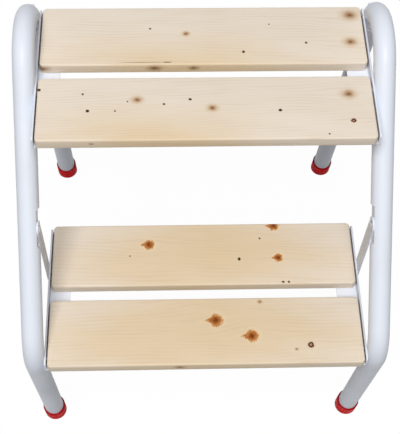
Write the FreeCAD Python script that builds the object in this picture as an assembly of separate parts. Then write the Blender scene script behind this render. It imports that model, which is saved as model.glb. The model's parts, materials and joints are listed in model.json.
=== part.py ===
import FreeCAD, Part
import math
import os

os.makedirs("parts", exist_ok=True)

Vector = FreeCAD.Vector
Rotation = FreeCAD.Rotation
Placement = FreeCAD.Placement

# All sizes are in millimetres and all angles in degrees.

# Step boards, two to a step
board_length = 370.0
board_width = 87.0
board_thickness = 14.0
board_gap = 18.0
board_corner_radius = 5.0
board_edge_chamfer = 1.6

# Where the steps stand
top_step_height = 470.0
lower_step_height = 254.0
step_going = 163.0

# Side frames, one bent tube and one straight rear leg on each side
tube_diameter = 25.0
tube_wall = 1.5
tube_seat_depth = 1.0
front_foot_setback = 53.0
lower_corner_setback = 10.0
lower_corner_rise = 6.0
lower_bend_radius = 48.0
top_corner_inset = 27.0
top_corner_rise = 77.0
top_bend_radius = 57.0
rear_foot_reach = 100.0

# Angle brackets under the board ends
bracket_wall = 2.0
bracket_shelf_width = 26.0
bracket_end_inset = 3.0
bracket_pin_margin = 7.0
bracket_top_recess = 1.0
bracket_corner_radius = 4.0
bracket_bend_radius = 1.5
board_end_gap = 1.5

# Flat stays that hang the lower step from the slanting tubes
stay_width = 18.0
stay_thickness = 2.0
stay_foot_setback = 130.0
stay_top_rise = 107.0

# Rivets, their pressed seats on the tubes, and the board screws
rivet_diameter = 6.0
rivet_head_diameter = 11.0
rivet_head_height = 1.2
rivet_bulb_diameter = 8.4
rivet_bulb_length = 4.0
rivet_drop = 8.0
top_seat_length = 40.0
lower_seat_length = 30.0
stay_seat_length = 42.0
seat_ramp = 3.0
screw_diameter = 4.0
screw_length = 12.0
screw_head_diameter = 8.0
screw_head_height = 2.4
screw_inset = 12.0
screw_edge_distance = 22.0

# Folding knuckle between each top bend and its rear leg
knuckle_pin_diameter = 8.0
knuckle_pin_head_diameter = 11.0
knuckle_pin_clearance = 0.06
knuckle_slot_width = 12.0
knuckle_side_clearance = 0.3
knuckle_floor_height = 12.7
knuckle_base_height = 15.0
knuckle_stop_clearance = 0.3
knuckle_swing_clearance = 0.5
tongue_recess = 1.7
knuckle_collar_height = 2.0
knuckle_plug_length = 16.0

# Rail that ties the two rear legs
rail_diameter = 22.0
rail_wall = 1.2
rail_drop = 345.0
weld_gap = 0.05

# Rubber feet
foot_wall = 2.0
foot_height = 28.0
foot_sole = 8.0
foot_sole_chamfer = 1.5
foot_lip_chamfer = 0.8

# Room that cutting tools need beyond what they cut
over = 5.0
far = 900.0

# How exactly an edge must lie where it is looked for, and how straight it must be
edge_tolerance = 0.3
straightness = 0.99


def side_point(y, z):
    return Vector(0, y, z)


def unit(start, end):
    step = end - start
    step.normalize()
    return step


def point_at_height(start, end, height):
    share = (height - start.z) / (end.z - start.z)
    return start + (end - start) * share


# Side view of the stool, drawn from the front edge of the top step
step_depth = 2 * board_width + board_gap
lower_step_front = -step_going
front_foot = side_point(lower_step_front + front_foot_setback, 0)
lower_corner = side_point(
    lower_step_front + lower_corner_setback, lower_step_height + lower_corner_rise
)
top_corner = side_point(
    step_depth - top_corner_inset, top_step_height + top_corner_rise
)
rear_foot = side_point(step_depth + rear_foot_reach, 0)

# Places across the stool, on the +X side, from the board ends outwards
tube_radius = tube_diameter / 2
bracket_inner_x = board_length / 2 + board_end_gap
bracket_outer_x = bracket_inner_x + bracket_wall
stay_outer_x = bracket_outer_x + stay_thickness
tube_centre_x = bracket_outer_x - tube_seat_depth + tube_radius


class Bend:
    """A round corner between two straight runs of the side view."""

    def __init__(self, before, corner, after, radius):
        to_before = unit(corner, before)
        to_after = unit(corner, after)
        half = to_before.getAngle(to_after) / 2
        inward = to_before + to_after
        inward.normalize()
        self.radius = radius
        self.start = corner + to_before * (radius / math.tan(half))
        self.end = corner + to_after * (radius / math.tan(half))
        self.centre = corner + inward * (radius / math.sin(half))
        self.middle = self.centre - inward * radius

    def arc(self):
        return Part.Arc(self.start, self.middle, self.end).toShape()

    def front_point_at_height(self, height):
        drop = height - self.centre.z
        reach = math.sqrt(self.radius**2 - drop**2)
        return side_point(self.centre.y - reach, height)


lower_bend = Bend(front_foot, lower_corner, top_corner, lower_bend_radius)
top_bend = Bend(lower_corner, top_corner, rear_foot, top_bend_radius)

# Rivet and pin places on the side view
top_rivet_height = top_step_height - rivet_drop
lower_rivet_height = lower_step_height - rivet_drop
hinge_point = point_at_height(top_corner, rear_foot, top_rivet_height)
top_front_rivet_point = point_at_height(lower_corner, top_corner, top_rivet_height)
lower_front_rivet_point = lower_bend.front_point_at_height(lower_rivet_height)
stay_foot_point = side_point(
    lower_step_front + stay_foot_setback, lower_rivet_height
)
stay_top_point = point_at_height(
    lower_corner, top_corner, lower_step_height + stay_top_rise
)

# The knuckle is drawn with its pin at the origin and the rear leg pointing down,
# and this placement leans it into line with the leg.
leg_up = unit(rear_foot, hinge_point)
leg_lean = math.degrees(math.atan2(-leg_up.y, leg_up.z))
knuckle_place = Placement(
    hinge_point + Vector(tube_centre_x, 0, 0), Rotation(Vector(1, 0, 0), leg_lean)
)


def block(x_low, x_high, y_low, y_high, z_low, z_high):
    corner = Vector(x_low, y_low, z_low)
    return Part.makeBox(x_high - x_low, y_high - y_low, z_high - z_low, corner)


def rod_along_x(radius, x_low, x_high, centre):
    start = Vector(x_low, centre.y, centre.z)
    return Part.makeCylinder(radius, x_high - x_low, start, Vector(1, 0, 0))


def in_knuckle(shape):
    placed = shape.copy()
    placed.Placement = knuckle_place.multiply(placed.Placement)
    return placed


def mirrored(shape):
    return shape.mirror(Vector(0, 0, 0), Vector(1, 0, 0))


def across(shape, x):
    moved = shape.copy()
    moved.translate(Vector(x, 0, 0))
    return moved


# Round tube forms

def side_path():
    front_end = front_foot + unit(front_foot, lower_corner) * foot_sole
    rear_end = rear_foot + unit(rear_foot, top_corner) * foot_sole
    edges = [
        Part.makeLine(front_end, lower_bend.start),
        lower_bend.arc(),
        Part.makeLine(lower_bend.end, top_bend.start),
        top_bend.arc(),
        Part.makeLine(top_bend.end, rear_end),
    ]
    return Part.Wire(edges), front_end


def swept_round(diameter):
    path, start = side_path()
    direction = unit(front_foot, lower_corner)
    ring = Part.Wire(Part.makeCircle(diameter / 2, start, direction))
    solid = path.makePipeShell([ring], True, True)
    return across(Part.Solid(solid), tube_centre_x)


outer_form = swept_round(tube_diameter)
inner_form = swept_round(tube_diameter - 2 * tube_wall)


def leg_slab(z_low, z_high):
    """The stretch of the rear leg's line between two heights over the pin."""
    reach = tube_radius + over
    return in_knuckle(block(-reach, reach, -reach, reach, z_low, z_high))


def pressed_seat(point, direction, flat_x, length):
    """Tool that flattens the tube's inner side to flat_x, with sloping ends."""
    half = length / 2
    outside_x = tube_centre_x - tube_radius - seat_ramp
    slope = half + (flat_x - outside_x)
    corners = [
        Vector(flat_x, -tube_radius, -half),
        Vector(flat_x, -tube_radius, half),
        Vector(outside_x, -tube_radius, slope),
        Vector(outside_x, -tube_radius, -slope),
        Vector(flat_x, -tube_radius, -half),
    ]
    face = Part.Face(Part.makePolygon(corners))
    tool = face.extrude(Vector(0, tube_diameter, 0))
    turn = math.degrees(math.atan2(-direction.y, direction.z))
    tool.Placement = Placement(point, Rotation(Vector(1, 0, 0), turn))
    return tool


slant_direction = unit(lower_corner, top_corner)
lower_rivet_spoke = lower_front_rivet_point - lower_bend.centre
lower_rivet_direction = Vector(0, -lower_rivet_spoke.z, lower_rivet_spoke.y)
lower_rivet_direction.normalize()

front_tube_seats = [
    (top_front_rivet_point, slant_direction, bracket_outer_x, top_seat_length),
    (lower_front_rivet_point, lower_rivet_direction, bracket_outer_x, lower_seat_length),
    (stay_top_point, slant_direction, stay_outer_x, stay_seat_length),
]
front_tube_rivet_points = [
    top_front_rivet_point,
    lower_front_rivet_point,
    stay_top_point,
]


def front_tube():
    skin = outer_form
    bore = inner_form
    for point, direction, flat_x, length in front_tube_seats:
        skin = skin.cut(pressed_seat(point, direction, flat_x, length))
        bore = bore.cut(pressed_seat(point, direction, flat_x + tube_wall, length))
    tube = skin.cut(bore).cut(leg_slab(-far, knuckle_base_height))
    for point in front_tube_rivet_points:
        tube = tube.cut(rod_along_x(rivet_diameter / 2, 0, tube_centre_x, point))
    return tube


def rear_leg():
    top = -knuckle_radius - knuckle_swing_clearance - knuckle_collar_height
    return outer_form.cut(inner_form).common(leg_slab(-far, top))


# Folding knuckle

knuckle_radius = tube_radius
tongue_radius = knuckle_radius - tongue_recess
tongue_top = knuckle_floor_height - knuckle_stop_clearance
tongue_half_width = knuckle_slot_width / 2 - knuckle_side_clearance


def knuckle_fork():
    reach = tube_radius + over
    upper = block(-reach, reach, -reach, reach, 0, knuckle_base_height)
    lower = rod_along_x(knuckle_radius, -reach, reach, Vector(0, 0, 0))
    fork = outer_form.common(in_knuckle(upper.fuse(lower)))
    slot = block(
        -knuckle_slot_width / 2, knuckle_slot_width / 2,
        -reach, reach, -reach, knuckle_floor_height,
    )
    fork = fork.cut(in_knuckle(slot))
    seat = block(0, bracket_outer_x, -far, far, -far, far)
    fork = fork.cut(seat)
    plug_top = knuckle_base_height + knuckle_plug_length
    fork = fork.fuse(inner_form.common(leg_slab(knuckle_base_height, plug_top)))
    pin_hole = rod_along_x(knuckle_pin_diameter / 2, 0, far, hinge_point)
    return fork.cut(pin_hole).removeSplitter()


def knuckle_tongue():
    neck_bottom = -knuckle_radius - knuckle_swing_clearance
    collar_bottom = neck_bottom - knuckle_collar_height
    low_x = -tongue_half_width
    high_x = tongue_half_width
    nose = rod_along_x(tongue_radius, low_x, high_x, Vector(0, 0, 0))
    heel = block(low_x, high_x, 0, tongue_radius, 0, tongue_top)
    neck = block(low_x, high_x, -tongue_radius, tongue_radius, neck_bottom, 0)
    blade = in_knuckle(nose.multiFuse([heel, neck]).removeSplitter())
    collar = outer_form.common(leg_slab(collar_bottom, neck_bottom))
    plug_bottom = collar_bottom - knuckle_plug_length
    plug = inner_form.common(leg_slab(plug_bottom, collar_bottom))
    hole_radius = knuckle_pin_diameter / 2 + knuckle_pin_clearance
    pin_hole = rod_along_x(hole_radius, 0, far, hinge_point)
    return blade.multiFuse([collar, plug]).cut(pin_hole).removeSplitter()


# Brackets and stays

def step_bracket(step_front, rear_end, step_height, holes):
    """Angle strip on the +X side: a shelf under the boards and an upright lip."""
    y_low = step_front + bracket_end_inset
    y_high = rear_end
    shelf_top = step_height - board_thickness
    shelf_bottom = shelf_top - bracket_wall
    shelf_inner_x = bracket_outer_x - bracket_shelf_width
    lip_top = step_height - bracket_top_recess
    lip = block(bracket_inner_x, bracket_outer_x, y_low, y_high, shelf_bottom, lip_top)
    lip = with_round_ends(lip, "X", lambda p: p.z > shelf_top)
    shelf = block(
        shelf_inner_x, bracket_outer_x, y_low, y_high, shelf_bottom, shelf_top
    )
    shelf = with_round_ends(shelf, "Z", lambda p: p.x < bracket_inner_x)
    angle = lip.fuse(shelf).removeSplitter()
    heel = [
        edge for edge in angle.Edges
        if is_along(edge, "Y")
        and abs(edge.CenterOfMass.x - bracket_outer_x) < edge_tolerance
        and abs(edge.CenterOfMass.z - shelf_bottom) < edge_tolerance
    ]
    angle = angle.makeFillet(bracket_bend_radius, heel)
    for point, diameter in holes:
        angle = angle.cut(rod_along_x(diameter / 2, 0, far, point))
    for place in screw_places(step_front):
        hole = Part.makeCylinder(
            screw_diameter / 2, far, Vector(place.x, place.y, 0)
        )
        angle = angle.cut(hole)
    return angle


def is_along(edge, axis):
    box = edge.BoundBox
    lengths = {"X": box.XLength, "Y": box.YLength, "Z": box.ZLength}
    return lengths[axis] > straightness * edge.Length


def with_round_ends(strip, axis, wanted):
    corners = [
        edge for edge in strip.Edges
        if is_along(edge, axis) and wanted(edge.CenterOfMass)
    ]
    return strip.makeFillet(bracket_corner_radius, corners)


def hanging_stay():
    radius = stay_width / 2
    low = stay_foot_point
    high = stay_top_point
    along = unit(low, high)
    side = Vector(0, -along.z, along.y) * radius
    start = Vector(bracket_outer_x, 0, 0)
    outline = Part.Wire([
        Part.makeLine(low + side, high + side),
        Part.Arc(high + side, high + along * radius, high - side).toShape(),
        Part.makeLine(high - side, low - side),
        Part.Arc(low - side, low - along * radius, low + side).toShape(),
    ])
    bar = Part.Face(outline).extrude(Vector(stay_thickness, 0, 0))
    bar.translate(start)
    for point in (low, high):
        bar = bar.cut(rod_along_x(rivet_diameter / 2, 0, far, point))
    return bar


# Boards, with their pilot holes

def board_fronts(step_front):
    return [step_front, step_front + board_width + board_gap]


def screw_places(step_front):
    """Screw centres at the +X end of both boards of a step."""
    x = board_length / 2 - screw_inset
    places = []
    for board_front in board_fronts(step_front):
        places.append(Vector(x, board_front + screw_edge_distance, 0))
        places.append(Vector(x, board_front + board_width - screw_edge_distance, 0))
    return places


def board(board_front, step_front, step_height):
    bottom = step_height - board_thickness
    half = board_length / 2
    plank = block(
        -half, half, board_front, board_front + board_width, bottom, step_height
    )
    upright = [edge for edge in plank.Edges if is_along(edge, "Z")]
    plank = plank.makeFillet(board_corner_radius, upright)
    rim = [
        edge for edge in plank.Edges
        if edge.BoundBox.ZLength < edge_tolerance
    ]
    plank = plank.makeChamfer(board_edge_chamfer, rim)
    for place in screw_places(step_front):
        if board_front < place.y < board_front + board_width:
            for x in (place.x, -place.x):
                depth = screw_length - bracket_wall
                centre = Vector(x, place.y, bottom)
                pilot = Part.makeCylinder(screw_diameter / 2, depth, centre)
                plank = plank.cut(pilot)
    return plank


# Rivets, pins and screws

def low_head(radius, height, seat, outward):
    """Round head that narrows away from the face it bears on."""
    return Part.makeCone(radius, radius - height / 2, height, seat, outward)


def headed_shank(point, diameter, head_diameter, head_x, end_x):
    """Rod from a low head, which bears at head_x, to end_x."""
    shank = rod_along_x(diameter / 2, head_x, end_x, point)
    seat = Vector(head_x, point.y, point.z)
    head = low_head(head_diameter / 2, rivet_head_height, seat, Vector(-1, 0, 0))
    return shank.fuse(head)


def tube_rivet(point, head_x, seat_x):
    """Blind rivet whose bulb holds behind the tube's pressed seat."""
    bulb_x = seat_x + tube_wall
    shank = headed_shank(point, rivet_diameter, rivet_head_diameter, head_x, bulb_x)
    bulb_end_x = bulb_x + rivet_bulb_length
    bulb = rod_along_x(rivet_bulb_diameter / 2, bulb_x, bulb_end_x, point)
    return shank.fuse(bulb).removeSplitter()


def bracket_rivet(point):
    return tube_rivet(point, bracket_inner_x, bracket_outer_x)


def stay_top_rivet():
    """Its head bears on the stay, because the bracket ends lower down."""
    return tube_rivet(stay_top_point, bracket_outer_x, stay_outer_x)


def stay_foot_rivet():
    """Solid rivet with a head at both ends."""
    point = stay_foot_point
    shank = headed_shank(
        point, rivet_diameter, rivet_head_diameter, bracket_inner_x, stay_outer_x
    )
    seat = Vector(stay_outer_x, point.y, point.z)
    second_head = low_head(
        rivet_head_diameter / 2, rivet_head_height, seat, Vector(1, 0, 0)
    )
    return shank.fuse(second_head).removeSplitter()


def hinge_pin():
    """Pin whose outer end is flush with the round of the fork."""
    point = hinge_point
    shank = headed_shank(
        point, knuckle_pin_diameter, knuckle_pin_head_diameter,
        bracket_inner_x, tube_centre_x,
    )
    rest = rod_along_x(knuckle_pin_diameter / 2, tube_centre_x, far, point)
    return shank.fuse(rest.common(outer_form)).removeSplitter()


def board_screw(place, step_height):
    shelf_bottom = step_height - board_thickness - bracket_wall
    seat = Vector(place.x, place.y, shelf_bottom)
    shank = Part.makeCylinder(screw_diameter / 2, screw_length, seat)
    head = low_head(
        screw_head_diameter / 2, screw_head_height, seat, Vector(0, 0, -1)
    )
    return shank.fuse(head)


def step_screws(step_front, step_height):
    screws = []
    for place in screw_places(step_front):
        screw = board_screw(place, step_height)
        screws.append(screw)
        screws.append(mirrored(screw))
    return Part.makeCompound(screws)


# Rear rail and rubber feet

def rear_rail():
    centre = hinge_point - leg_up * rail_drop
    half = tube_centre_x
    skin = rod_along_x(rail_diameter / 2, -half, half, centre)
    bore = rod_along_x(rail_diameter / 2 - rail_wall, -half, half, centre)
    rail = skin.cut(bore)
    cope = Part.makeCylinder(
        tube_radius + weld_gap, far, rear_foot + Vector(tube_centre_x, 0, 0), leg_up
    )
    return rail.cut(cope).cut(mirrored(cope))


def rubber_foot(ground_point, up):
    base = ground_point + Vector(tube_centre_x, 0, 0)
    outer_radius = tube_radius + foot_wall
    start = base - up * over
    cup = Part.makeCylinder(outer_radius, foot_height + over, start, up)
    below = block(-far, far, -far, far, -far, 0)
    cup = cup.cut(below)
    sole_edge = [edge for edge in cup.Edges if edge.BoundBox.ZMax < edge_tolerance]
    cup = cup.makeChamfer(foot_sole_chamfer, sole_edge)
    lip = [edge for edge in cup.Edges if is_top_rim(edge, base + up * foot_height, up)]
    cup = cup.makeChamfer(foot_lip_chamfer, lip)
    bore = Part.makeCylinder(tube_radius, foot_height, base + up * foot_sole, up)
    return cup.cut(bore)


def is_top_rim(edge, centre, up):
    return abs((edge.CenterOfMass - centre).dot(up)) < edge_tolerance


# All pieces, each with its mirror image where it has one

def both_sides(name, shape):
    return {name + "_right": shape, name + "_left": mirrored(shape)}


def both_as_group(shape):
    return Part.makeCompound([shape, mirrored(shape)])


def step_boards(name, step_front, step_height):
    front, rear = board_fronts(step_front)
    return {
        name + "_front_board": board(front, step_front, step_height),
        name + "_rear_board": board(rear, step_front, step_height),
    }


def all_pieces():
    pieces = {}
    pieces.update(both_sides("front_tube", front_tube()))
    pieces.update(both_sides("rear_leg", rear_leg()))
    pieces.update(both_sides("knuckle_fork", knuckle_fork()))
    pieces.update(both_sides("knuckle_tongue", knuckle_tongue()))
    pieces["rear_rail"] = rear_rail()
    top_holes = [
        (top_front_rivet_point, rivet_diameter),
        (hinge_point, knuckle_pin_diameter),
    ]
    lower_holes = [
        (lower_front_rivet_point, rivet_diameter),
        (stay_foot_point, rivet_diameter),
    ]
    top_rear_end = hinge_point.y + bracket_pin_margin
    lower_rear_end = lower_step_front + step_depth - bracket_end_inset
    top_bracket = step_bracket(0, top_rear_end, top_step_height, top_holes)
    lower_bracket = step_bracket(
        lower_step_front, lower_rear_end, lower_step_height, lower_holes
    )
    pieces.update(both_sides("top_bracket", top_bracket))
    pieces.update(both_sides("lower_bracket", lower_bracket))
    pieces.update(both_sides("stay", hanging_stay()))
    pieces.update(step_boards("top", 0, top_step_height))
    pieces.update(step_boards("lower", lower_step_front, lower_step_height))
    front_up = unit(front_foot, lower_corner)
    pieces.update(both_sides("front_foot", rubber_foot(front_foot, front_up)))
    pieces.update(both_sides("rear_foot", rubber_foot(rear_foot, leg_up)))
    pieces["hinge_pins"] = both_as_group(hinge_pin())
    pieces["top_front_rivets"] = both_as_group(bracket_rivet(top_front_rivet_point))
    pieces["lower_front_rivets"] = both_as_group(
        bracket_rivet(lower_front_rivet_point)
    )
    pieces["stay_top_rivets"] = both_as_group(stay_top_rivet())
    pieces["stay_foot_rivets"] = both_as_group(stay_foot_rivet())
    pieces["top_screws"] = step_screws(0, top_step_height)
    pieces["lower_screws"] = step_screws(lower_step_front, lower_step_height)
    return pieces


def centring_shift(pieces):
    """Moves the middle of the stool's footprint over the origin."""
    box = Part.makeCompound(list(pieces.values())).BoundBox
    return Vector(0, -(box.YMin + box.YMax) / 2, 0)


def export_all():
    pieces = all_pieces()
    shift = centring_shift(pieces)
    for name, shape in pieces.items():
        moved = shape.copy()
        moved.translate(shift)
        moved.exportStep("parts/" + name + ".step")
        kind = "valid" if moved.isValid() else "INVALID"
        print(name, len(moved.Solids), "solids", kind, round(moved.Volume, 1))
    for name, point in (
        ("hinge", hinge_point),
        ("front foot", front_foot),
        ("rear foot", rear_foot),
        ("top step front", side_point(0, top_step_height)),
        ("lower step front", side_point(lower_step_front, lower_step_height)),
    ):
        place = point + shift
        print(name, "at y", round(place.y, 3), "z", round(place.z, 3))
    print("leg lean", round(leg_lean, 3))


export_all()
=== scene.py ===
# %% [markdown]
# ## A folding step stool in pine and powder-coated tube
#
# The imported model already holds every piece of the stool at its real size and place. This
# script loads it as a fixed frame and dresses it. All lengths are in metres, +Z is up, +X is
# the right side of the stool and -Y is the side where a person steps up.

# %% Load the frame
import json
import math

import bmesh
import bpy
from mathutils import Matrix, Vector


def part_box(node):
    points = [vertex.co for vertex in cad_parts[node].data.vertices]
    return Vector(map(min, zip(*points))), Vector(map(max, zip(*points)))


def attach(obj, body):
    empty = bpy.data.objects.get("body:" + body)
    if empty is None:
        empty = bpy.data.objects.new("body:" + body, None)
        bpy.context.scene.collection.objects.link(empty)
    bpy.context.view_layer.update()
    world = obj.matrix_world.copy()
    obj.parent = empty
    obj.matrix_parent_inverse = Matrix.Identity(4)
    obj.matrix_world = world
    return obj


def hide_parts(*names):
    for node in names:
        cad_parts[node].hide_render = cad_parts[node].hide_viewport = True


MM = 0.001
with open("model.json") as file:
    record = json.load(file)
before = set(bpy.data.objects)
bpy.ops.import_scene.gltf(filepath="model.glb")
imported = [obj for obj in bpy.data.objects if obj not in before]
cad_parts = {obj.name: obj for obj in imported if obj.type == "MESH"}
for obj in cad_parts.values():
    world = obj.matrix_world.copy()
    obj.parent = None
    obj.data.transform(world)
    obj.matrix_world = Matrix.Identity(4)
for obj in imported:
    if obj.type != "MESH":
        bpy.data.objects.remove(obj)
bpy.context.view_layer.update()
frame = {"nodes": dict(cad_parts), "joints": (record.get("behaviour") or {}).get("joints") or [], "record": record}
nodes = frame["nodes"]

# %% [markdown]
# ## Smooth shading
#
# The frame's curved faces arrive as many small flat facets. Blender can shade them as one
# curve and keep the true corners sharp: each edge whose faces meet at more than a set angle
# stays sharp. Only the shading changes, so no vertex of the frame moves.

# %% Shade the curved faces smooth
SHARP_ANGLE = math.radians(28)


def shade_curves(mesh):
    mesh.shade_smooth()
    mesh.set_sharp_from_angle(angle=SHARP_ANGLE)


for part in nodes.values():
    shade_curves(part.data)
print("shaded", len(nodes), "nodes")

# %% [markdown]
# ## Small helpers for shader nodes
#
# A material is a graph of nodes, and building one by hand takes many similar lines. These
# helpers add one node each. A value that is another node's output is linked, and any other
# value is written on the socket itself, which also keeps it in an exported model.

# %% Define the node helpers
NOISE_LOW = 0.3
NOISE_HIGH = 0.7


def wire(tree, socket, value):
    """Links the socket to another output, or sets it to a plain value."""
    if isinstance(value, bpy.types.NodeSocket):
        tree.links.new(value, socket)
    else:
        socket.default_value = value


def add_node(tree, kind, inputs, **settings):
    made = tree.nodes.new("ShaderNode" + kind)
    for name, value in settings.items():
        setattr(made, name, value)
    for key, value in inputs.items():
        wire(tree, made.inputs[key], value)
    return made


def maths(tree, operation, a, b=0.0, c=0.0):
    return add_node(tree, "Math", {0: a, 1: b, 2: c}, operation=operation).outputs[0]


def scaled(tree, vector, scale, shift=(0, 0, 0)):
    """The vector times scale plus shift, along each axis."""
    inputs = {0: vector, 1: scale, 2: shift}
    return add_node(tree, "VectorMath", inputs, operation="MULTIPLY_ADD").outputs[0]


def length_of(tree, vector):
    return add_node(tree, "VectorMath", {0: vector}, operation="LENGTH").outputs["Value"]


def fade(tree, value, low, high, start=0.0, end=1.0):
    """Goes smoothly from start, where value is low, to end, where it is high."""
    inputs = {0: value, 1: low, 2: high, 3: start, 4: end}
    settings = {"interpolation_type": "SMOOTHSTEP", "clamp": True}
    return add_node(tree, "MapRange", inputs, **settings).outputs[0]


def spread(tree, grain, start, end):
    """Takes a noise from start to end over the range where most of its values lie."""
    return fade(tree, grain, NOISE_LOW, NOISE_HIGH, start, end)


def noise(tree, vector, scale, detail=3.0, roughness=0.5):
    inputs = {"Vector": vector, "Scale": scale, "Detail": detail, "Roughness": roughness}
    return add_node(tree, "TexNoise", inputs)


def mix_colours(tree, factor, first, second):
    inputs = {0: factor, 6: first, 7: second}
    return add_node(tree, "Mix", inputs, data_type="RGBA").outputs[2]


def ramp(tree, factor, stops):
    """A colour ramp through (position, colour) stops. Returns the node."""
    made = add_node(tree, "ValToRGB", {0: factor})
    elements = made.color_ramp.elements
    while len(elements) < len(stops):
        elements.new(1.0)
    for element, (position, tone) in zip(elements, stops):
        element.position = position
        element.color = tone
    return made


def bumped(tree, height, distance, strength=1.0):
    inputs = {"Height": height, "Distance": distance, "Strength": strength}
    return add_node(tree, "Bump", inputs).outputs[0]


def shade(value):
    """One channel of a screen colour, 0 to 255, as light, by the sRGB curve."""
    share = value / 255
    if share <= 0.04045:
        return share / 12.92
    return ((share + 0.055) / 1.055) ** 2.4


def colour(red, green, blue, alpha=1.0):
    return (shade(red), shade(green), shade(blue), alpha)


def grey(value):
    return (value, value, value, 1.0)


def new_material(name):
    """An empty node material with its shader, and the shader's tree."""
    material = bpy.data.materials.new(name)
    material.use_nodes = True
    tree = material.node_tree
    shader = tree.nodes["Principled BSDF"]
    return material, tree, shader


def finish_with(tree, shader, **values):
    """Sets the shader's sockets by name, with spaces written as underscores."""
    for name, value in values.items():
        wire(tree, shader.inputs[name.replace("_", " ")], value)


def coordinates(tree, output="Object"):
    return tree.nodes.new("ShaderNodeTexCoord").outputs[output]


print("node helpers ready")

# %% [markdown]
# ## Powder coat
#
# The tubes, brackets and stays are sprayed with powder and baked. That leaves a smooth skin
# with a faint orange peel and a little dust in places. A plain grey would look like plastic,
# so a fine noise bends the surface, a broad one shifts the colour and the roughness, and a
# thin clear coat gives a second, sharper reflection.

# %% Make the powder coat
COAT_COLOUR = colour(229, 234, 244)
COAT_DUST = colour(210, 213, 218)
COAT_ROUGHNESS = (0.38, 0.48)
MOST_DUST = 0.35
PEEL_SCALE = 420.0
PEEL_HEIGHT = 0.04 * MM
COAT_PATCH_SCALE = 9.0


def powder_coat(name, tone):
    material, tree, shader = new_material(name)
    place = coordinates(tree)
    peel = noise(tree, place, PEEL_SCALE, detail=2.0).outputs[0]
    patches = noise(tree, place, COAT_PATCH_SCALE, detail=4.0).outputs[0]
    dust = fade(tree, patches, 0.45, 0.8, end=MOST_DUST)
    finish_with(
        tree, shader,
        Base_Color=mix_colours(tree, dust, tone, COAT_DUST),
        Roughness=spread(tree, patches, *COAT_ROUGHNESS),
        Normal=bumped(tree, peel, PEEL_HEIGHT, strength=0.5),
        Specular_IOR_Level=0.22,
        Coat_Weight=0.06,
        Coat_Roughness=0.12,
    )
    return material


tube_paint = powder_coat("powder_coat", COAT_COLOUR)
print("made", tube_paint.name)

# %% [markdown]
# ## Cast knuckles
#
# The knuckles are die castings under the same powder. A casting's skin is a little coarser
# than drawn tube, so the same recipe gets a stronger, larger grain.

# %% Make the cast finish
CAST_ROUGHNESS = (0.34, 0.44)
CAST_GRAIN_SCALE = 260.0
CAST_GRAIN_HEIGHT = 0.12 * MM
CAST_PATCH_SCALE = 30.0


def cast_paint(name, tone):
    material, tree, shader = new_material(name)
    place = coordinates(tree)
    grain = noise(tree, place, CAST_GRAIN_SCALE, detail=4.0, roughness=0.6).outputs[0]
    patches = noise(tree, place, CAST_PATCH_SCALE).outputs[0]
    finish_with(
        tree, shader,
        Base_Color=mix_colours(tree, fade(tree, patches, 0.4, 0.8), tone, COAT_DUST),
        Roughness=spread(tree, patches, *CAST_ROUGHNESS),
        Normal=bumped(tree, grain, CAST_GRAIN_HEIGHT, strength=0.6),
        Coat_Weight=0.15,
        Coat_Roughness=0.2,
    )
    return material


knuckle_paint = cast_paint("cast_powder_coat", COAT_COLOUR)
print("made", knuckle_paint.name)

# %% [markdown]
# ## Red rubber
#
# The feet are moulded in one red compound with a broad dull highlight, which a fine grain
# breaks up. The last millimetres over the floor are scuffed darker in patches, which a height
# gradient does. Faces that point up, the lip's upper face among them, get a darker red as
# painted shade, picked out by where the faces point.

# %% Make the rubber
RUBBER_RED = colour(238, 2, 16)
RUBBER_SCUFFED = colour(186, 6, 16)
# Painted shade: a darker red for faces that point up, the lip's top among them.
LIP_PAINTED_SHADE = colour(150, 2, 12)
SCUFF_HEIGHT = 5 * MM
RUBBER_ROUGHNESS = (0.5, 0.62)
RUBBER_GRAIN_SCALE = 700.0
RUBBER_GRAIN_HEIGHT = 0.08 * MM
BLOTCH_SCALE = 90.0


def red_rubber(name):
    material, tree, shader = new_material(name)
    place = coordinates(tree)
    grain = noise(tree, place, RUBBER_GRAIN_SCALE).outputs[0]
    blotches = noise(tree, place, BLOTCH_SCALE).outputs[0]
    height = add_node(tree, "SeparateXYZ", {0: place}).outputs["Z"]
    near_floor = fade(tree, height, 0.0, SCUFF_HEIGHT, 1.0, 0.0)
    scuffed = maths(tree, "MULTIPLY", near_floor, fade(tree, blotches, 0.35, 0.65))
    worn = mix_colours(tree, scuffed, RUBBER_RED, RUBBER_SCUFFED)
    # Painted shade: faces that point up take the darker red.
    facing = add_node(tree, "NewGeometry", {}).outputs["Normal"]
    upward = add_node(tree, "SeparateXYZ", {0: facing}).outputs["Z"]
    painted_shade_facing_up = fade(tree, upward, 0.3, 0.7)
    finish_with(
        tree, shader,
        Base_Color=mix_colours(tree, painted_shade_facing_up, worn, LIP_PAINTED_SHADE),
        Roughness=spread(tree, blotches, *RUBBER_ROUGHNESS),
        Normal=bumped(tree, grain, RUBBER_GRAIN_HEIGHT, strength=0.5),
        Specular_IOR_Level=0.08,
    )
    return material


rubber = red_rubber("red_rubber")
print("made", rubber.name)

# %% [markdown]
# ## Zinc-plated steel
#
# Rivets, pins and screws are left bright. Zinc plate is a metal with a soft, slightly blue
# shine. A fine noise in the roughness and the surface stands for its crystals, and a broad
# one dulls it in patches.

# %% Make the zinc plate
ZINC = colour(206, 209, 214)
ZINC_DULL = colour(168, 170, 174)
ZINC_ROUGHNESS = (0.22, 0.38)
CRYSTAL_SCALE = 900.0
CRYSTAL_HEIGHT = 0.03 * MM
DULL_PATCH_SCALE = 160.0


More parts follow.
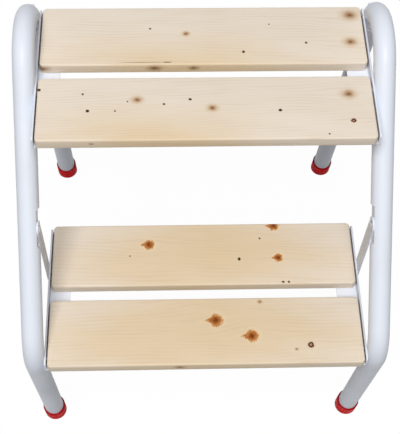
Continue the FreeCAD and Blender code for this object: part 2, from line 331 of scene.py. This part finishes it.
def zinc_plate(name):
    material, tree, shader = new_material(name)
    place = coordinates(tree)
    fine = noise(tree, place, CRYSTAL_SCALE, detail=4.0).outputs[0]
    broad = noise(tree, place, DULL_PATCH_SCALE).outputs[0]
    finish_with(
        tree, shader,
        Base_Color=mix_colours(tree, fade(tree, broad, 0.35, 0.7), ZINC, ZINC_DULL),
        Metallic=1.0,
        Roughness=spread(tree, fine, *ZINC_ROUGHNESS),
        Normal=bumped(tree, fine, CRYSTAL_HEIGHT, strength=0.4),
    )
    return material


zinc = zinc_plate("zinc_plate")
print("made", zinc.name)

# %% [markdown]
# ## Pine, from the inside out
#
# A board is cut from a log, so its grain is not a picture on its top: growth rings are
# cylinders round the heart of the tree, and each face shows where it cuts them. The material
# works the same way. It measures how far a point lies from a heart line that runs along the
# board some way below it, and every few millimetres of that distance is one ring. The top,
# the edges and the end grain then agree with each other.
#
# A knot is a branch that grew through those rings, so the rings part around it. Near each
# knot the distance is worked out from a point that is pulled towards the knot, which spreads
# the rings on both sides of it.

# %% Lay out the boards' coordinates
BOARD_FRONTS = {
    name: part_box(name)[0].y
    for name in ("top_front_board", "top_rear_board", "lower_front_board", "lower_rear_board")
}
BOARD_TOPS = {name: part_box(name)[1].z for name in BOARD_FRONTS}


def board_place(tree, board):
    """Millimetres along the board, back from its front edge and up from its top face."""
    per_metre = 1 / MM
    shift = (0, -BOARD_FRONTS[board] * per_metre, -BOARD_TOPS[board] * per_metre)
    return scaled(tree, coordinates(tree), (per_metre,) * 3, shift)


print({name: round(front, 4) for name, front in BOARD_FRONTS.items()})

# %% [markdown]
# ## Knots
#
# Each knot has a place on its board, a radius and a kind. Live knots are orange-brown and
# tight in the wood, with a short point on the left. Brown ones fade out softly. Ringed ones
# are dead branches with a black rim of bark. Pin knots are dark dots, and edge knots are
# small brown marks on the front edge. For every kind the material takes the distance to the
# nearest knot, counted in knot radii, and a colour ramp turns that distance into wood: one
# ramp per kind serves any number of knots.

# %% Define the knots
KNOT_DEPTH = 0.04
KNOT_WOBBLE = 1.3
WOBBLE_SCALE = 0.2
MOTTLE_SCALE = 0.5
MOTTLE = 1.1
BROWN_STRETCH = 0.8
EDGE_KNOT_DROP = 6.0
EDGE_KNOT_STRETCH = 0.5
POINT_START = 0.45
POINT_REACH = 0.5
POINT_NARROWING = 2.2
KNOT_RAMPS = {
    "live": [
        (0.00, colour(124, 62, 24)),
        (0.10, colour(110, 52, 20)),
        (0.22, colour(152, 84, 34)),
        (0.36, colour(182, 112, 50)),
        (0.48, colour(196, 134, 72)),
        (0.56, colour(196, 140, 84, 0.8)),
        (0.63, colour(234, 208, 166, 0.5)),
        (1.00, colour(240, 224, 198, 0.0)),
    ],
    "brown": [
        (0.00, colour(122, 80, 46)),
        (0.14, colour(148, 106, 68, 0.95)),
        (0.35, colour(184, 144, 102, 0.75)),
        (0.60, colour(206, 176, 136, 0.4)),
        (1.00, colour(220, 198, 166, 0.0)),
    ],
    "ringed": [
        (0.00, colour(196, 158, 132)),
        (0.22, colour(170, 118, 90)),
        (0.34, colour(48, 22, 14)),
        (0.54, colour(54, 28, 20)),
        (0.62, colour(190, 150, 112, 0.5)),
        (1.00, colour(226, 204, 172, 0.0)),
    ],
    "pin": [
        (0.00, colour(34, 22, 14)),
        (0.46, colour(40, 26, 16)),
        (0.58, colour(96, 68, 42, 0.7)),
        (0.76, colour(190, 162, 126, 0.25)),
        (1.00, colour(226, 206, 176, 0.0)),
    ],
    "edge": [
        (0.00, colour(112, 74, 42)),
        (0.30, colour(156, 118, 78, 0.8)),
        (1.00, colour(200, 172, 134, 0.0)),
    ],
}
RAMP_REACH = 1.7
PARTING_REACH = 4.0
PARTING_STRETCH = 2.6
PARTING_PULL = 0.75


def pointed(tree, vector):
    """Draws a round knot out to a short point on its left."""
    axes = add_node(tree, "SeparateXYZ", {0: vector})
    left = maths(tree, "MULTIPLY_ADD", axes.outputs["X"], -1.0, -POINT_START)
    left = maths(tree, "MAXIMUM", left, 0.0)
    along = maths(tree, "MULTIPLY_ADD", left, POINT_REACH, axes.outputs["X"])
    narrowing = maths(tree, "MULTIPLY_ADD", left, POINT_NARROWING, 1.0)
    back = maths(tree, "MULTIPLY", axes.outputs["Y"], narrowing)
    inputs = {0: along, 1: back, 2: axes.outputs["Z"]}
    return add_node(tree, "CombineXYZ", inputs).outputs[0]


def knot_distance(tree, place, knot):
    """Distance from one knot's axis, counted in its radii."""
    along, back, radius, kind = knot
    if kind == "edge":
        scale = (EDGE_KNOT_STRETCH / radius, 1 / radius, 1 / radius)
        shift = (-along * scale[0], -back * scale[1], EDGE_KNOT_DROP * scale[2])
        return length_of(tree, scaled(tree, place, scale, shift))
    stretch = BROWN_STRETCH if kind == "brown" else 1.0
    scale = (stretch / radius, 1 / radius, KNOT_DEPTH)
    shift = (-along * scale[0], -back * scale[1], 0)
    spoke = scaled(tree, place, scale, shift)
    if kind == "live":
        spoke = pointed(tree, spoke)
        mottle = noise(tree, place, MOTTLE_SCALE, detail=2.0).outputs[0]
        uneven = maths(tree, "MULTIPLY_ADD", mottle, MOTTLE, -MOTTLE / 2)
        return maths(tree, "ADD", length_of(tree, spoke), uneven)
    return length_of(tree, spoke)


def knots_of(tree, place, knots, kind):
    """Ramp node for all knots of one kind, or None where the board has none."""
    nearest = None
    for knot in knots:
        if knot[3] != kind:
            continue
        distance = knot_distance(tree, place, knot)
        if nearest is not None:
            distance = maths(tree, "MINIMUM", nearest, distance)
        nearest = distance
    if nearest is None:
        return None
    return ramp(tree, maths(tree, "DIVIDE", nearest, RAMP_REACH), KNOT_RAMPS[kind])


def parted_back(tree, place, back, knots):
    """How far back a point counts for the rings, once the knots have parted them."""
    for along, knot_back, radius, kind in knots:
        if kind in ("pin", "edge"):
            continue
        reach = radius * PARTING_REACH
        scale = (1 / (reach * PARTING_STRETCH), 1 / reach, 0)
        shift = (-along * scale[0], -knot_back * scale[1], 0)
        distance = length_of(tree, scaled(tree, place, scale, shift))
        pull = fade(tree, distance, 0.0, 1.0, -PARTING_PULL, 0.0)
        offset = maths(tree, "SUBTRACT", back, knot_back)
        back = maths(tree, "MULTIPLY_ADD", offset, pull, back)
    return back


print("knot kinds", list(KNOT_RAMPS))

# %% [markdown]
# ## Rings, fibres and the colour of planed pine
#
# Spring wood is pale and wide, summer wood is a thin darker line that ends sharply, so the
# ring ramp rises slowly and falls at once. Noise that is stretched along the board adds the
# fibres, and a very broad one adds the slow change from cream to straw. End grain soaks up
# more varnish and turns darker, and its colour is made darker still as painted shade for the
# shadowed gaps at the board ends. The direction that a face points in picks it out.

# %% Make the pine
SAPWOOD = colour(235, 223, 208)
STRAW = colour(228, 205, 170)
SUMMER_WOOD = colour(200, 168, 126)
# Darker end grain, made darker still as painted shade for the shadowed gaps at the board ends.
END_GRAIN_AND_SHADE = colour(146, 114, 80)
CRACK_COLOUR = colour(62, 46, 34)
RING_LINE = [(0.0, grey(0.05)), (0.55, grey(0.25)), (0.88, grey(1.0)), (0.96, grey(0.15))]
RING_WANDER = 3.0
RING_TILT = 0.035
LINE_STRENGTH = (0.03, 0.3)
FIBRE_STRENGTH = 0.2
MOST_END_GRAIN_AND_SHADE = 0.8
MOST_WARM = 0.7
MOST_BROAD = 0.7
CRACK_DEPTH = 0.12
PINE_ROUGHNESS = (0.42, 0.56)
PINE_RELIEF = 0.05 * MM
# Noise scales along, across and through the board, per millimetre.
WANDER_GRAIN = (0.006, 0.022, 0.022)
BROAD_GRAIN = (0.007, 0.02, 0.02)
ZONE_GRAIN = (0.012, 0.06, 0.06)
FIBRE_GRAIN = (0.03, 1.9, 1.9)


def drawn_out_noise(tree, place, grain, detail=2.0, roughness=0.5):
    """Noise that is drawn out along the board."""
    return noise(tree, scaled(tree, place, grain), 1.0, detail, roughness).outputs[0]


def ring_pattern(tree, place, heart, spacing, knots):
    """From 0 to 1 through each growth ring."""
    heart_back, heart_down = heart
    axes = add_node(tree, "SeparateXYZ", {0: place})
    wander = drawn_out_noise(tree, place, WANDER_GRAIN)
    back = parted_back(tree, place, axes.outputs["Y"], knots)
    sideways = maths(tree, "SUBTRACT", back, heart_back)
    tilt = maths(tree, "MULTIPLY_ADD", axes.outputs["X"], RING_TILT, heart_down)
    depth = maths(tree, "ADD", axes.outputs["Z"], tilt)
    square = maths(tree, "MULTIPLY", sideways, sideways)
    radius = maths(tree, "SQRT", maths(tree, "MULTIPLY_ADD", depth, depth, square))
    rings = maths(tree, "DIVIDE", radius, spacing)
    return maths(tree, "FRACT", maths(tree, "MULTIPLY_ADD", wander, RING_WANDER, rings))


def warm_share(tree, place, along, back, reach_along, reach_back):
    """Most in the middle of the board's warm patch, 0 outside it."""
    scale = (1 / reach_along, 1 / reach_back, 0)
    shift = (-along * scale[0], -back * scale[1], 0)
    distance = length_of(tree, scaled(tree, place, scale, shift))
    return fade(tree, distance, 0.0, 1.5, MOST_WARM, 0.0)


def crack(tree, place, start, end, back, half_width):
    """1 in a hair crack along the grain, 0 elsewhere."""
    middle = (start + end) / 2
    scale = (2 / (end - start), 1 / half_width, CRACK_DEPTH)
    shift = (-middle * scale[0], -back * scale[1], 0)
    distance = length_of(tree, scaled(tree, place, scale, shift))
    return fade(tree, distance, 0.5, 1.0, 1.0, 0.0)


def clear_wood(tree, place, line, fibre, warm):
    """Cream to straw, with the ring lines and the fibres over it."""
    broad = drawn_out_noise(tree, place, BROAD_GRAIN)
    straw = maths(tree, "MULTIPLY_ADD", broad, MOST_BROAD, warm_share(tree, place, *warm))
    wood = mix_colours(tree, fade(tree, straw, 0.2, 1.1), SAPWOOD, STRAW)
    zones = drawn_out_noise(tree, place, ZONE_GRAIN)
    strength = maths(tree, "MULTIPLY", line, fade(tree, zones, 0.35, 0.7, *LINE_STRENGTH))
    wood = mix_colours(tree, strength, wood, SUMMER_WOOD)
    fibres = fade(tree, fibre, 0.5, 0.8, end=FIBRE_STRENGTH)
    return mix_colours(tree, fibres, wood, SUMMER_WOOD)


def with_end_grain_and_shade(tree, wood):
    """Darkens the faces that look along the board: darker end grain, deepened by painted shade."""
    facing = add_node(tree, "SeparateXYZ", {0: coordinates(tree, "Normal")}).outputs["X"]
    share = fade(tree, maths(tree, "ABSOLUTE", facing), 0.7, 1.0, end=MOST_END_GRAIN_AND_SHADE)
    return mix_colours(tree, share, wood, END_GRAIN_AND_SHADE)


def with_knots(tree, place, knots, wood):
    """Lays the knots over the wood, seen through a wobble that makes them uneven."""
    twist = noise(tree, place, WOBBLE_SCALE, detail=2.0).outputs["Color"]
    wobble = scaled(tree, twist, (KNOT_WOBBLE * 2,) * 3, (-KNOT_WOBBLE,) * 3)
    bent = add_node(tree, "VectorMath", {0: place, 1: wobble}, operation="ADD").outputs[0]
    for kind in KNOT_RAMPS:
        knot = knots_of(tree, bent, knots, kind)
        if knot is not None:
            wood = mix_colours(tree, knot.outputs["Alpha"], wood, knot.outputs["Color"])
    return wood


def with_cracks(tree, place, cracks, wood):
    for start, end, back, half_width in cracks:
        split = crack(tree, place, start, end, back, half_width)
        wood = mix_colours(tree, split, wood, CRACK_COLOUR)
    return wood


def pine(board, knots, heart, spacing, warm, cracks=()):
    material, tree, shader = new_material("pine_" + board)
    place = board_place(tree, board)
    ring = ring_pattern(tree, place, heart, spacing, knots)
    line = ramp(tree, ring, RING_LINE).outputs[0]
    fibre = drawn_out_noise(tree, place, FIBRE_GRAIN, detail=4.0, roughness=0.6)
    wood = clear_wood(tree, place, line, fibre, warm)
    wood = with_end_grain_and_shade(tree, wood)
    wood = with_knots(tree, place, knots, wood)
    wood = with_cracks(tree, place, cracks, wood)
    relief = maths(tree, "MULTIPLY_ADD", fibre, 0.6, line)
    finish_with(
        tree, shader,
        Base_Color=wood,
        Roughness=spread(tree, fibre, *PINE_ROUGHNESS),
        Normal=bumped(tree, relief, PINE_RELIEF, strength=0.6),
        Specular_IOR_Level=0.2,
    )
    return material


print("pine recipe ready")

# %% [markdown]
# ## Four boards from four places in the log
#
# No two boards of a real stool match. Each gets its own knots, heart, ring width and warm
# patch, and one has a hair crack. All are in millimetres: a knot's place is given along the
# board from its middle and back from its front edge, the heart's back from that edge and
# down from the top face, and the warm patch has its middle and its reach both ways.

# %% Give each board its own wood
BOARD_WOOD = {
    "top_rear_board": dict(
        heart=(-60, 90), spacing=3.4, warm=(-10, -20, 140, 60),
        cracks=[(-103, -35, 3.6, 0.35), (-48, -35, 3.6, 0.8)],
        knots=[
            (-61, 54, 1.3, "pin"), (-20, 46, 3.6, "brown"), (76, 60, 0.8, "pin"),
            (45, 18, 1.4, "pin"), (117, 31, 1.5, "pin"), (171, 73, 8.0, "brown"),
            (168, 32, 6.5, "brown"), (-12, 0, 3.0, "edge"), (-56, 0, 4.0, "edge"),
            (-182, 0, 4.0, "edge"),
        ],
    ),
    "top_front_board": dict(
        heart=(150, 80), spacing=3.2, warm=(-45, -20, 120, 60),
        knots=[
            (-183, 70, 1.8, "pin"), (-135, 63.5, 1.2, "pin"), (-75, 55, 5.0, "brown"),
            (-86, 53, 0.9, "pin"), (-46, 49, 1.3, "pin"), (-17, 55, 1.6, "pin"),
            (-129, 40, 1.7, "pin"), (-99, 40, 1.0, "pin"), (7, 43, 4.8, "brown"),
            (81, 39, 1.8, "pin"), (158, 61, 6.4, "brown"), (160, 24, 2.7, "ringed"),
            (132, 6, 1.0, "pin"), (-124, 0, 1.4, "edge"),
        ],
    ),
    "lower_rear_board": dict(
        heart=(-50, 70), spacing=4.0, warm=(5, 40, 160, 75),
        knots=[
            (-67, 58, 6.8, "live"), (-90, 42, 1.0, "pin"), (89, 83, 6.6, "live"),
            (71, 65, 1.3, "pin"), (92, 37, 5.8, "live"), (44, 36, 1.9, "pin"),
            (96, 3, 1.3, "pin"), (103, 3, 1.2, "pin"),
        ],
    ),
    "lower_front_board": dict(
        heart=(140, 60), spacing=4.2, warm=(0, 42, 190, 80),
        knots=[
            (12, 57, 8.4, "live"), (54, 36, 8.0, "live"), (123, 23, 3.6, "ringed"),
            (106, 18, 1.8, "brown"), (-31, 0, 3.0, "edge"), (66, 81, 2.6, "brown"),
        ],
    ),
}
board_woods = {board: pine(board, **recipe) for board, recipe in BOARD_WOOD.items()}
print("made", len(board_woods), "pine materials")

# %% [markdown]
# ## Give every node its finish
#
# The record names a material slot for each node. A finish per slot dresses them all, and the
# boards take their own wood by name.

# %% Assign the finishes
SLOT_FINISHES = {
    "powder_coat": tube_paint,
    "knuckle_metal": knuckle_paint,
    "rubber": rubber,
    "zinc_steel": zinc,
}


def dress(part, material):
    for holder in part.material_slots:
        holder.material = material


for entry in frame["record"]["subparts"]:
    part_name = entry["node"]
    finish = board_woods.get(part_name) or SLOT_FINISHES[entry["material_slot"]]
    dress(nodes[part_name], finish)

# %% [markdown]
# ## Boards with eased edges
#
# A planed board has its sharp edges rounded over by a couple of millimetres, and that round
# catches a soft line of light. The frame's boards have a flat chamfer there. Each board is
# laid up again as a stack of outlines: the same rectangle with round corners, drawn in step
# by step along a quarter circle at the bottom and again at the top.

# %% Build the boards
EDGE_ROUND = 2.2 * MM
CORNER_ROUND = 5 * MM
ROUND_STEPS = 5
CORNER_STEPS = 8


def board_outline(low, high, inset, height):
    """Rectangle with round corners, inset from the board's box, at one height."""
    radius = CORNER_ROUND - inset
    corners = [
        (high.x, high.y, 0), (low.x, high.y, 90), (low.x, low.y, 180), (high.x, low.y, 270),
    ]
    points = []
    for x, y, start in corners:
        centre_x = x - math.copysign(CORNER_ROUND, x - (low.x + high.x) / 2)
        centre_y = y - math.copysign(CORNER_ROUND, y - (low.y + high.y) / 2)
        for step in range(CORNER_STEPS + 1):
            turn = math.radians(start + 90 * step / CORNER_STEPS)
            points.append(Vector((
                centre_x + radius * math.cos(turn), centre_y + radius * math.sin(turn), height
            )))
    return points


def stacked_mesh(name, outlines):
    """Closed mesh through a stack of outlines, with flat ends."""
    mesh = bpy.data.meshes.new(name)
    count = len(outlines[0])
    faces = [tuple(reversed(range(count)))]
    for level in range(len(outlines) - 1):
        for i in range(count):
            beside = (i + 1) % count
            faces.append((
                level * count + i, level * count + beside,
                (level + 1) * count + beside, (level + 1) * count + i,
            ))
    top = (len(outlines) - 1) * count
    faces.append(tuple(range(top, top + count)))
    mesh.from_pydata([point for outline in outlines for point in outline], [], faces)
    mesh.validate()
    shade_curves(mesh)
    return mesh


def new_piece(name, mesh, material, body):
    piece = bpy.data.objects.new(name, mesh)
    bpy.context.scene.collection.objects.link(piece)
    mesh.materials.append(material)
    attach(piece, body)
    return piece


def quarter_round():
    """Inset and depth of each outline, from a board's face out to its straight side."""
    turns = [math.radians(90 * step / ROUND_STEPS) for step in range(ROUND_STEPS + 1)]
    return [(EDGE_ROUND * (1 - math.sin(t)), EDGE_ROUND * (1 - math.cos(t))) for t in turns]


def eased_board(node):
    low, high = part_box(node)
    quarter = quarter_round()
    outlines = [board_outline(low, high, inset, low.z + depth) for inset, depth in quarter]
    for inset, depth in reversed(quarter):
        outlines.append(board_outline(low, high, inset, high.z - depth))
    name = "eased_" + node
    mesh = stacked_mesh(name, outlines)
    piece = new_piece(name, mesh, board_woods[node], "front_frame")
    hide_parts(node)
    return piece


eased_boards = [eased_board(node) for node in BOARD_WOOD]
print("laid", len(eased_boards), "boards")

# %% [markdown]
# ## Weld beads on the rear rail
#
# The rail is welded to both rear legs, and a weld leaves a raised, rippled bead round the
# joint. A torus would not follow the saddle where two round tubes meet, so each point of the
# bead is placed on both tubes at once: round the rail, and as far out as the leg's surface.
# The bead's thickness then swells and shrinks a little on the way, as a hand-laid one does.

# %% Build the weld beads
BEAD_STEPS = 72
BEAD_SIDES = 10
BEAD_RADIUS = 1.9 * MM
BEAD_RIPPLE = 0.16
BEAD_RIPPLES = 26
LOOK_AHEAD = 0.01

rail_low, rail_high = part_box("rear_rail")
leg_low, leg_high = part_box("rear_leg_right")
hinge = Vector(frame["joints"][0]["pos_m"])
rail_centre = (rail_low + rail_high) / 2
rail_radius = (rail_high.z - rail_low.z) / 2
leg_radius = (leg_high.x - leg_low.x) / 2
leg_centre_x = (leg_high.x + leg_low.x) / 2
across_leg = Vector((0, rail_centre.y - hinge.y, rail_centre.z - hinge.z)).normalized()
across_leg = Vector((0, across_leg.z, -across_leg.y))


def saddle_point(turn, side):
    """Point where the rail's surface meets the leg's, at a turn round the rail."""
    out = Vector((0, math.cos(turn), math.sin(turn)))
    offset = rail_radius * out.dot(across_leg)
    reach = leg_centre_x - math.sqrt(leg_radius**2 - offset**2)
    return Vector((side * reach, rail_centre.y, rail_centre.z)) + out * rail_radius


def tube_mesh(name, rings):
    """Closed mesh tube through rings of points that form a loop."""
    mesh = bpy.data.meshes.new(name)
    count = len(rings)
    sides = len(rings[0])
    points = [point for ring in rings for point in ring]
    faces = []
    for i in range(count):
        for j in range(sides):
            following = (i + 1) % count
            beside = (j + 1) % sides
            faces.append((
                i * sides + j, following * sides + j,
                following * sides + beside, i * sides + beside,
            ))
    mesh.from_pydata(points, [], faces)
    mesh.validate()
    fix = bmesh.new()
    fix.from_mesh(mesh)
    bmesh.ops.recalc_face_normals(fix, faces=fix.faces)
    fix.to_mesh(mesh)
    fix.free()
    mesh.shade_smooth()
    return mesh


def bead_ring(turn, side):
    """The bead's cross-section at one turn round the rail."""
    point = saddle_point(turn, side)
    ahead = saddle_point(turn + LOOK_AHEAD, side)
    along = (ahead - point).normalized()
    out = Vector((0, math.cos(turn), math.sin(turn)))
    out = (out - along * out.dot(along)).normalized()
    third = along.cross(out)
    swell = 1 + BEAD_RIPPLE * math.sin(turn * BEAD_RIPPLES)
    ring = []
    for corner in range(BEAD_SIDES):
        angle = 2 * math.pi * corner / BEAD_SIDES
        spoke = out * math.cos(angle) + third * math.sin(angle)
        ring.append(point + spoke * BEAD_RADIUS * swell)
    return ring


def weld_bead(name, side):
    rings = [bead_ring(2 * math.pi * step / BEAD_STEPS, side) for step in range(BEAD_STEPS)]
    return new_piece(name, tube_mesh(name, rings), tube_paint, "rear_frame")


weld_bead("rail_weld_right", 1)
weld_bead("rail_weld_left", -1)
print("rail radius", round(rail_radius, 4), "leg radius", round(leg_radius, 4))

# %% [markdown]
# ## Floor
#
# A seamless pale floor keeps the stool's soft shadow. To the camera and to reflections most
# of the floor is its own white glow, so the background stays white without more light on
# the stool.

# %% Lay the floor
FLOOR_HALF = 6.0
FLOOR_LOW = (0.3, 0.3, 0.3, 1)
FLOOR_HIGH = (0.33, 0.33, 0.33, 1)
FLOOR_GLOW = 0.9
GLOW_STRENGTH = 1.08
FLOOR_GRAIN_SCALE = 6.0


def pale_floor():
    material, tree, shader = new_material("pale_floor")
    grain = noise(tree, coordinates(tree), FLOOR_GRAIN_SCALE).outputs[0]
    finish_with(
        tree, shader,
        Base_Color=mix_colours(tree, grain, FLOOR_LOW, FLOOR_HIGH),
        Roughness=0.9,
        Specular_IOR_Level=0.1,
    )
    white = {"Color": (1, 1, 1, 1), "Strength": GLOW_STRENGTH}
    glow = add_node(tree, "Emission", white).outputs[0]
    rays = tree.nodes.new("ShaderNodeLightPath")
    seen = maths(tree, "MAXIMUM", rays.outputs["Is Camera Ray"], rays.outputs["Is Glossy Ray"])
    share = maths(tree, "MULTIPLY", seen, FLOOR_GLOW)
    mixed = add_node(tree, "MixShader", {0: share, 1: shader.outputs[0], 2: glow})
    output = tree.nodes["Material Output"]
    tree.links.new(mixed.outputs[0], output.inputs["Surface"])
    return material


floor_mesh = bpy.data.meshes.new("floor")
floor_mesh.from_pydata(
    [(x * FLOOR_HALF, y * FLOOR_HALF, 0) for x, y in ((-1, -1), (1, -1), (1, 1), (-1, 1))],
    [], [(0, 1, 2, 3)],
)
floor_mesh.materials.append(pale_floor())
floor = bpy.data.objects.new("floor", floor_mesh)
bpy.context.scene.collection.objects.link(floor)
print("floor laid")

# %% [markdown]
# ## Light
#
# The stool is lit like a product on a white sweep: one very large soft lamp high above and a
# little in front, and an even white surround. The tubes then have a broad bright band along
# their tops and fall off to grey at their sides.

# %% Set the lamp and the surround
STOOL_MIDDLE = (0, 0, 0.3)
LAMP_PLACE = (-0.45, -2.1, 4.7)
LAMP_SIZE = 2.4
LAMP_POWER = 212
SURROUND_STRENGTH = 0.18


def area_lamp(name, place, target, size, power):
    lamp = bpy.data.lights.new(name, "AREA")
    lamp.shape = "SQUARE"
    lamp.size = size
    lamp.energy = power
    holder = bpy.data.objects.new(name, lamp)
    holder.location = place
    aim = Vector(target) - Vector(place)
    holder.rotation_euler = aim.to_track_quat("-Z", "Y").to_euler()
    bpy.context.scene.collection.objects.link(holder)
    return holder


def white_surround():
    world = bpy.data.worlds.new("surround")
    world.use_nodes = True
    tree = world.node_tree
    background = tree.nodes["Background"]
    background.inputs["Color"].default_value = (1, 1, 1, 1)
    rays = tree.nodes.new("ShaderNodeLightPath")
    seen = rays.outputs["Is Camera Ray"]
    for other in ("Is Glossy Ray", "Is Transmission Ray"):
        seen = maths(tree, "MAXIMUM", seen, rays.outputs[other])
    strength = maths(tree, "MULTIPLY_ADD", seen, 1 - SURROUND_STRENGTH, SURROUND_STRENGTH)
    tree.links.new(strength, background.inputs["Strength"])
    return world


area_lamp("overhead", LAMP_PLACE, STOOL_MIDDLE, LAMP_SIZE, LAMP_POWER)
bpy.context.scene.world = white_surround()
bpy.context.scene.view_settings.view_transform = "Standard"

# %% [markdown]
# ## Camera
#
# The photograph looks down on the stool from the front, a little left of the middle. Its
# place and its turn come from matching the stool's straight edges, so they are written as a
# point and three angles: yaw to the right, pitch below the horizon and roll about the view.

# %% Place the camera
PICTURE_WIDTH = 400
FOCAL_PIXELS = 1066.8
SENSOR = 36.0
CAMERA_PLACE = Vector((-43.4, -752.8, 1386.3)) * MM
YAW = math.radians(3.236)
PITCH = math.radians(57.426)
ROLL = math.radians(2.041)


def camera_turn():
    """Camera axes as the columns of a rotation: right, up and backward."""
    forward = Vector((
        math.sin(YAW) * math.cos(PITCH), math.cos(YAW) * math.cos(PITCH), -math.sin(PITCH)
    ))
    level_right = Vector((math.cos(YAW), -math.sin(YAW), 0))
    level_up = level_right.cross(forward)
    right = level_right * math.cos(ROLL) + level_up * math.sin(ROLL)
    up = level_up * math.cos(ROLL) - level_right * math.sin(ROLL)
    return Matrix((right, up, -forward)).transposed()


camera_data = bpy.data.cameras.new("camera")
camera_data.sensor_fit = "HORIZONTAL"
camera_data.sensor_width = SENSOR
camera_data.lens = FOCAL_PIXELS * SENSOR / PICTURE_WIDTH
camera = bpy.data.objects.new("camera", camera_data)
camera.matrix_world = Matrix.Translation(CAMERA_PLACE) @ camera_turn().to_4x4()
bpy.context.scene.collection.objects.link(camera)
bpy.context.scene.camera = camera
print("lens", round(camera_data.lens, 2), "mm")
